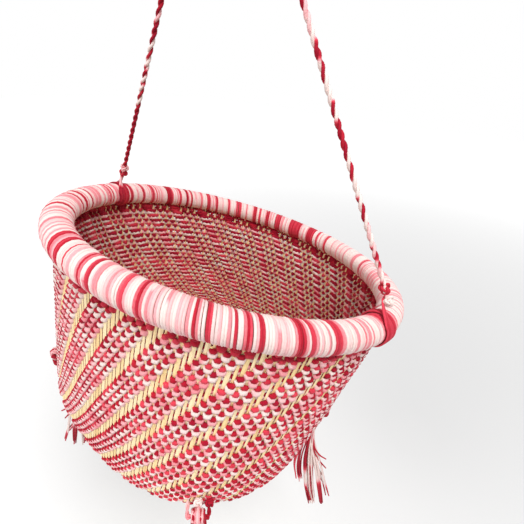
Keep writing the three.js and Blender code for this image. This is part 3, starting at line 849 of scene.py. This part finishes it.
# Each yarn's width and thickness, how far a stitch reaches from its splint, counted in splints,
# its tones and their odds, and, in front, at a crossing and behind: its swelling and its place
# in the row's pitch
YARNS = {
    "red_yarn": (
        0.0028, 0.0026, 0.7, (0.95, 0.76), (0.65, 0.35), (0.97, 0.78, 1.2), (0.2, 0.26, 0.14),
    ),
    "pale_yarn": (
        0.0027, 0.0018, 0.86, (0.1, 0.28, 0.44), (0.42, 0.33, 0.25),
        (1.24, 0.68, 1.25), (-0.4, -0.14, -0.36),
    ),
}
TOP_ROWS_FROM = 26
TOP_ROWS = ((0.95, 0.8), (0.6, 0.4))  # tones and odds of both yarns in the rows under the rim
first_splints = np.arange(0, SPLINTS, 2)[:, None]
grown = np.tile(STITCH_GROWN, len(first_splints))
fullness = STITCH_THIN + (1 - STITCH_THIN) * grown
for name, (width, thickness, reach, tones, odds, swells, places) in YARNS.items():
    far_reach = (1 + reach) / 2
    stitch = (0, reach / 2, reach, far_reach, 1, 2 - far_reach, 2 - reach, 2 - reach / 2)
    for part, rows in (("lower", ROWS[:LOWER_ROWS]), ("upper", ROWS[LOWER_ROWS:])):
        lines = []
        for row in rows:
            fronts = first_splints + row % 2
            before = (fronts + STITCH_BEFORE).ravel()
            after = (fronts + STITCH_AFTER).ravel()
            angle = splint_angle((fronts + stitch).ravel())
            lifted = (yarn_side(before, row) + yarn_side(after, row)) / 2
            kind = np.where(lifted > 0.5, 0, np.where(lifted < -0.5, 2, 1))
            lifted = np.where(lifted < 0, YARN_INNER_LIFT, 1) * lifted
            pitch = row_height(row + 0.5, angle) - row_height(row - 0.5, angle)
            at_crossing = places[1]
            in_row = at_crossing + (np.array(places)[kind] - at_crossing) * grown**2
            in_row += np.repeat(rng.normal(0, YARN_WANDER, SPLINTS // 2), len(stitch))
            swell = np.array(swells)[kind] * fullness * pitch / WIDEST_PITCH
            swell *= np.repeat(rng.normal(1, YARN_WANDER, SPLINTS // 2), len(stitch))
            points, out = wall(angle, row_height(row, angle) + in_row * pitch, MIDDLE_INSET)
            row_tones, row_odds = TOP_ROWS if row >= TOP_ROWS_FROM else (tones, odds)
            dye = dyed(travelled(points), YARN_PATCH, rng, row_tones, row_odds)
            # Painted shade: red yarns inside the wall take more dye, so the basket's inside reads darker
            dye = np.where((lifted < 0) & (dye > RED_FROM), dye + INSIDE_PAINTED_SHADE, dye)
            lines.append(hung_guide(points, out, lifted=lifted, swell=swell, dye=dye, closed=True))
        strands(
            f"{name}_{part}", "basket", lines, width, thickness, yarn,
            lift=YARN_LIFT,
        )


# Base. Palm splints plaited over two and under two, in both directions of the rounded square. The
# same splints turn up at its edge and go on as the wall's uprights.
PLAIT_PITCH = 0.0032
PLAIT_WIDTH = 0.0030
PLAIT_LIFT = 0.0004
PLAIT_INSET = 0.0065  # of the plait's end from the base's edge
PLAIT_MIDDLE = 0.0013  # above the underside
PLAIT_SHORTEST = 2  # crossings on each side of its middle, or else a splint is left out

half = BASE_HALF_WIDTH - PLAIT_INSET
count = int(half / PLAIT_PITCH)
base_turn = np.array(
    ((math.cos(BASE_TURN), math.sin(BASE_TURN)), (-math.sin(BASE_TURN), math.cos(BASE_TURN)))
)
for direction in (0, 1):
    lines = []
    for i in range(-count, count + 1):
        across_it = i * PLAIT_PITCH
        reach = (half**BASE_SQUARENESS - abs(across_it) ** BASE_SQUARENESS) ** (1 / BASE_SQUARENESS)
        last = int(reach / PLAIT_PITCH)
        if last < PLAIT_SHORTEST:
            continue
        j = np.arange(-last, last + 1)
        along_it = j * PLAIT_PITCH
        over = np.where((i + j) % 4 < 2, 1.0, -1.0) * (1 if direction == 0 else -1)
        flat = np.stack([along_it, np.full(len(j), across_it)], 1)
        if direction:
            flat = flat[:, ::-1]
        level = np.full((len(j), 1), PLAIT_MIDDLE - BASKET_DEPTH)
        points = np.hstack([flat @ base_turn, level])
        own_tone = rng.uniform(*SPLINT_TONES)
        lines.append(hung_guide(points, (0, 0, -1), lifted=over, dye=own_tone))
    made = strands(
        ("plait_lengthwise", "plait_crosswise")[direction], "basket", lines,
        PLAIT_WIDTH, SPLINT_THICKNESS, splint, sides=4, lift=PLAIT_LIFT, rounded=False,
    )
    if direction == 0:
        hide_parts("woven_base")


# Rim ties. The end of each leg goes down from its knot, twice round the rim through the weave
# under it, and back up to the knot. Its yarns lie untwisted there, as a flat red band.
TIE_YARNS = 4
TIE_YARN_PITCH = 0.0014
TIE_YARN_WIDTH = 0.0017
TIE_YARN_THICKNESS = 0.0010
TIE_PITCH = 0.006
TIE_TURNS = 2
TIE_ANGLES = {"left": math.radians(191), "right": math.radians(-11)}
TIE_INSET = 0.003
KNOT_RISE = 0.020
NECK_RISE = 0.0145  # where both ends come together, under the knot
NECK_INSET = 0.002
NECK_HALF_WIDTH = 0.0009
TIE_GAP = 0.0003
TIE_COIL_POINTS = 37
TIE_POINTS = 181
TIE_SPREAD = (-0.08, 0.04)  # how far one yarn may be from the tie's dye
# Dye by share of the length: red over the rim, pale where it comes back to the neck
TIE_DYES = {
    "left": (
        (0, 0.12), (0.09, 0.12), (0.11, 0.95), (0.3, 0.8), (0.5, 0.95), (0.89, 0.95), (0.91, 0.3),
    ),
    "right": ((0, 0.7), (0.1, 0.8), (0.3, 0.9), (0.62, 0.8), (0.9, 0.9), (0.95, 0.1), (1, 0.1)),
}
tie_radius = RIM_THICKNESS / 2 + TIE_GAP + TIE_YARN_THICKNESS / 2
neck_offset = Vector((-NECK_INSET, NECK_RISE))
touching = math.acos(tie_radius / neck_offset.length)
wound_angle = TIE_TURNS * 2 * math.pi - 2 * touching
start_angle = math.atan2(NECK_RISE, -NECK_INSET) - touching
share = np.linspace(0, 1, TIE_COIL_POINTS)
turn = start_angle - share * wound_angle
for side, middle in TIE_ANGLES.items():
    knot = polar(np.array(middle), RIM_RADIUS - TIE_INSET, KNOT_RISE)
    necks = polar(
        middle + np.array((-1, 1)) * NECK_HALF_WIDTH / RIM_RADIUS, RIM_RADIUS - NECK_INSET, NECK_RISE
    )
    lines = []
    for number in range(TIE_YARNS):
        along_rim = (share - 0.5) * wound_angle / (2 * math.pi) * TIE_PITCH
        along_rim += (number - (TIE_YARNS - 1) / 2) * TIE_YARN_PITCH
        coils = polar(
            middle + along_rim / RIM_RADIUS, RIM_RADIUS + tie_radius * np.cos(turn),
            tie_radius * np.sin(turn),
        )
        route = smooth_route(np.vstack([knot, necks[:1], coils, necks[1:], knot]), TIE_POINTS)
        out = route - polar(np.arctan2(route[:, 1], route[:, 0]), RIM_RADIUS, 0.0)
        out /= np.linalg.norm(out, axis=1)[:, None]
        run = travelled(route)
        dye = np.interp(run / run[-1], *np.array(TIE_DYES[side]).T) + rng.uniform(*TIE_SPREAD)
        lines.append(hung_guide(route, out, dye=dye))
    tie = strands(
        f"rim_lashing_{side}", "basket", lines, TIE_YARN_WIDTH,
        TIE_YARN_THICKNESS, yarn,
    )
    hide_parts(f"rim_tie_{side}")


# Bars for the tassels. A short doubled yarn, tied through the weave near each corner of the base,
# stands off the wall like a little handle.
TASSEL_ANGLES = (-49, 28, 131, 221)
BAR_YARN = 0.0026
BAR_HEIGHT = 0.006
BAR_POINTS = 61
BAR_SUNK = 0.002  # of its ends under the wall's outer face
BAR_BENDS = (-0.97, -0.6, 0.6, 0.97)  # as shares of its half width
TASSEL_HEAD = 0.005
TASSEL_WIDTH = 0.0084
bar_half = TASSEL_WIDTH / 2 + 2 * TIE_GAP + BAR_YARN / 2
bar_out = TASSEL_HEAD + 3 * TIE_GAP
bar_height = BAR_HEIGHT - BASKET_DEPTH
# The two knots that hold a bar: along the bar, out from the wall, up, and their dye
BAR_KNOTS = ((-0.0010, 0.0012, 0.0045, 0.06), (0.0056, 0.0010, 0.0042, 0.97))
BAR_KNOT_SIZE = 0.00062
BAR_DYES = ((0, 0.2), (0.3, 0.5), (0.55, 0.95), (1, 0.95))
ply = PLY_WIDTH * BAR_YARN
for number, degrees in enumerate(TASSEL_ANGLES, 1):
    angle = np.array(math.radians(degrees))
    outside = wall_radius(angle, np.array(bar_height + EDGE_BEND))
    sideways = polar(angle + math.pi / 2, 1.0, 0.0)
    along_bar = sideways * bar_half
    near = polar(angle, outside - BAR_SUNK, bar_height)
    far = polar(angle, outside + bar_out, bar_height)
    bends = [far + along_bar * bend for bend in BAR_BENDS]
    corners = [near - along_bar, *bends, near + along_bar]
    route = smooth_route(hung(corners), BAR_POINTS)
    plies = two_plies(route, BAR_YARN, rng, dyes=BAR_DYES)
    for along_it, out_of_it, above_it, dye in BAR_KNOTS:
        place = polar(angle, outside + out_of_it, bar_height + above_it) + sideways * along_it
        route = overhand(place, polar(angle, 1.0, 0.0), sideways, BAR_KNOT_SIZE)
        plies += two_plies(hung(route), BAR_YARN, rng, dyes=((0, dye), (1, dye)))
    bar = strands(f"tassel_bar_{number}", "basket", plies, ply, ply, yarn)
    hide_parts(f"corner_tie_{number}")


# Tassels. Each is a hank of soft yarn folded over its bar and bound below it, so the fold makes
# the round head and the cut ends hang as a loose bundle, a few of them straying.
NECK_RADIUS = 0.0031
NECK_DROP = 0.0078
NECK_SIDES = (0.2, 1)  # how far a yarn end keeps to its own side of the bar
NECK_MIX = 0.2  # how far ends change places along the bar
NECK_FILL = (0.45, 0.9)  # where the ends lie in it, as shares of its radius
TASSEL_YARN = 0.0016
BINDING_YARN = 0.0016
BINDING_TURNS = 3
BINDING_POINTS = 49
BINDING_OUT = 0.0007  # of its yarn's middle from the neck
BINDING_DYE = 0.95
TASSEL_SEED = 33
HEAD_TONES = (0.25, 0.42, 0.9)
HEAD_DEPTH = 9  # of the coloured fold, in millimetres
FOLD_NEAREST = 0.0027  # of a fold's middle from the joint
FOLD_INSET = 0.0007  # of the last fold from the end of the head
HEAD_ROUNDING = 0.45
HANK_POINTS = 71
HANK_SPREAD = 0.06  # how far a yarn may be from its lock's dye
END_LENGTHS = (0.95, 1.03)
END_WAVE = 0.0004
ASTRAY_FROM = 45  # millimetres down, where an end has its full distance from its lock
END_TAPER = (0.04, 0.75)  # the thinner end's share of a yarn, and its swelling there
TASSEL_FACING = (0, 0, 140, 200)  # degrees by which the hank of each tassel is turned
TASSEL_SIDEWAYS = Vector((0.825, 0.564, 0))  # level, to the right in the picture
# Locks of the hank: yarn ends, how far they spread, their way from the neck as sideways, forward
# and down, in millimetres, and their dye by depth
LOCKS = (
    (6, 1.1, ((-5, -3, 28), (-7, 0, 52), (-7, 2, 78), (-6, 5, 94), (-1, 10, 120), (5, 14, 140)),
     ((0, 0.9), (88, 0.99), (99, 0.1), (112, 0.1), (118, 0.95))),
    (6, 1.2, ((-6, -4, 28), (-11, 0, 52), (-13, 2, 75), (-12, 4, 97), (-8, 5, 116)),
     ((0, 0.1), (48, 0.1), (56, 0.99), (106, 0.99), (112, 0.2))),
    (2, 0.5, ((-7, -4, 28), (-14, 0, 56), (-18, 3, 86), (-13, 5, 116)),
     ((0, 0.1), (60, 0.1), (66, 0.75), (116, 0.75))),
    (8, 1.6, ((-5, -4, 28), (-6, -1, 52), (-3, 4, 86), (2, 10, 116), (7, 14, 140)),
     ((0, 0.05), (50, 0.35), (54, 0.05), (140, 0.08))),
    (4, 0.8, ((-5, -4, 28), (-5, -1, 52), (0, 6, 92), (3, 11, 118), (7, 14, 138)),
     ((0, 0.1), (84, 0.1), (90, 0.97), (138, 0.97))),
    (7, 1.5, ((-5, -4, 28), (-4, -1, 52), (3, 6, 82), (10, 11, 112), (16, 15, 138)),
     ((0, 0.06), (102, 0.08), (110, 0.85), (138, 0.95))),
    (3, 0.9, ((-4, -3, 30), (-3, 0, 54), (7, 6, 84), (15, 10, 110), (22, 13, 130)),
     ((0, 0.06), (110, 0.1), (116, 0.85), (130, 0.85))),
    (1, 0.2, ((-5, -4, 28), (-2, 1, 58), (5, 4, 70), (13, 6, 76)), ((0, 0.1), (56, 0.9), (76, 0.9))),
    (1, 0.2, ((-5, -4, 28), (-2, 3, 62), (6, 5, 79), (14, 7, 90)), ((0, 0.1), (60, 0.9), (90, 0.9))),
    (2, 0.8, ((-5, -4, 28), (-1, 3, 72), (7, 6, 96), (14, 8, 108)), ((0, 0.1), (98, 0.1), (102, 0.9))),
)
rng = np.random.default_rng(TASSEL_SEED)
down = np.array((0.0, 0.0, -1.0))
for number, facing in enumerate(TASSEL_FACING, 1):
    joint = joint_of[f"tassel_swing_{number}"]
    middle = np.array(joint["pos_m"])
    bar = np.array(joint["axis"])
    away = np.cross(bar, (0.0, 0.0, 1.0))
    sideways = np.array(Matrix.Rotation(math.radians(facing), 3, "Z") @ TASSEL_SIDEWAYS)
    forward = np.cross(down, sideways)
    ends = [lock for lock in LOCKS for _ in range(lock[0])]
    ends = [ends[i] for i in rng.permutation(len(ends))]
    folded = len(ends) // 2
    lines = []
    for i in range(folded):
        beside_it = (i + 0.5) / folded * 2 - 1
        over = rng.uniform(FOLD_NEAREST, TASSEL_HEAD - TASSEL_YARN / 2)
        over *= math.sqrt(1 - HEAD_ROUNDING * beside_it**2)
        place = bar * beside_it * (TASSEL_WIDTH / 2 - FOLD_INSET)
        arch = [
            middle + place + (away * math.cos(turn) - down * math.sin(turn)) * over
            for turn in np.linspace(0, math.pi, 7)
        ]
        tails = []
        for sign, (_, spread, way, _) in ((1, ends[i]), (-1, ends[folded + i])):
            inward = away * sign * rng.uniform(*NECK_SIDES)
            inward = inward + bar * (beside_it + rng.normal(0, NECK_MIX))
            inward *= NECK_RADIUS * rng.uniform(*NECK_FILL) / np.linalg.norm(inward)
            astray = rng.normal(0, spread / 1000, 2)
            longer = rng.uniform(*END_LENGTHS)
            tail = [middle + down * NECK_DROP + inward]
            for across_it, forward_it, depth in way:
                wave = rng.normal(0, END_WAVE, 2) + astray * min(1, depth / ASTRAY_FROM)
                tail.append(
                    middle + sideways * (across_it / 1000 + wave[0])
                    + forward * (forward_it / 1000 + wave[1]) + down * depth / 1000 * longer
                )
            tails.append(tail)
        route = smooth_route([*tails[0][::-1], *arch, *tails[1]], HANK_POINTS)
        run = travelled(route)
        depths = (route - middle) @ down * 1000
        first_half = np.arange(len(route)) < len(route) / 2
        dyes = [np.interp(depths, *np.array(ends[end][3]).T) for end in (i, folded + i)]
        dye = np.where(first_half, *dyes)
        dye = np.where(depths < HEAD_DEPTH, rng.choice(HEAD_TONES), dye)
        dye = dye + rng.uniform(-HANK_SPREAD, HANK_SPREAD)
        from_end = np.minimum(run, run[-1] - run) / run[-1]
        swell = np.interp(from_end, (0, END_TAPER[0]), (END_TAPER[1], 1))
        lines.append(guide(route, beside(route)[0], dye=dye, swell=swell))
    tassel = strands(
        f"tassel_yarns_{number}", f"tassel_{number}", lines, TASSEL_YARN,
        TASSEL_YARN, yarn, sides=5,
    )
    turn = np.linspace(0, BINDING_TURNS * 2 * math.pi, BINDING_POINTS)[:, None]
    winding = middle + down * (NECK_DROP - BINDING_YARN)
    winding = winding + (away * np.cos(turn) + bar * np.sin(turn)) * (NECK_RADIUS + BINDING_OUT)
    winding += down * (turn / turn[-1]) * BINDING_TURNS * BINDING_YARN
    strands(
        f"tassel_binding_{number}", f"tassel_{number}",
        [guide(winding, beside(winding)[0], dye=BINDING_DYE)], BINDING_YARN, BINDING_YARN, yarn,
    )
    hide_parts(f"tassel_knot_{number}", f"tassel_skirt_{number}")
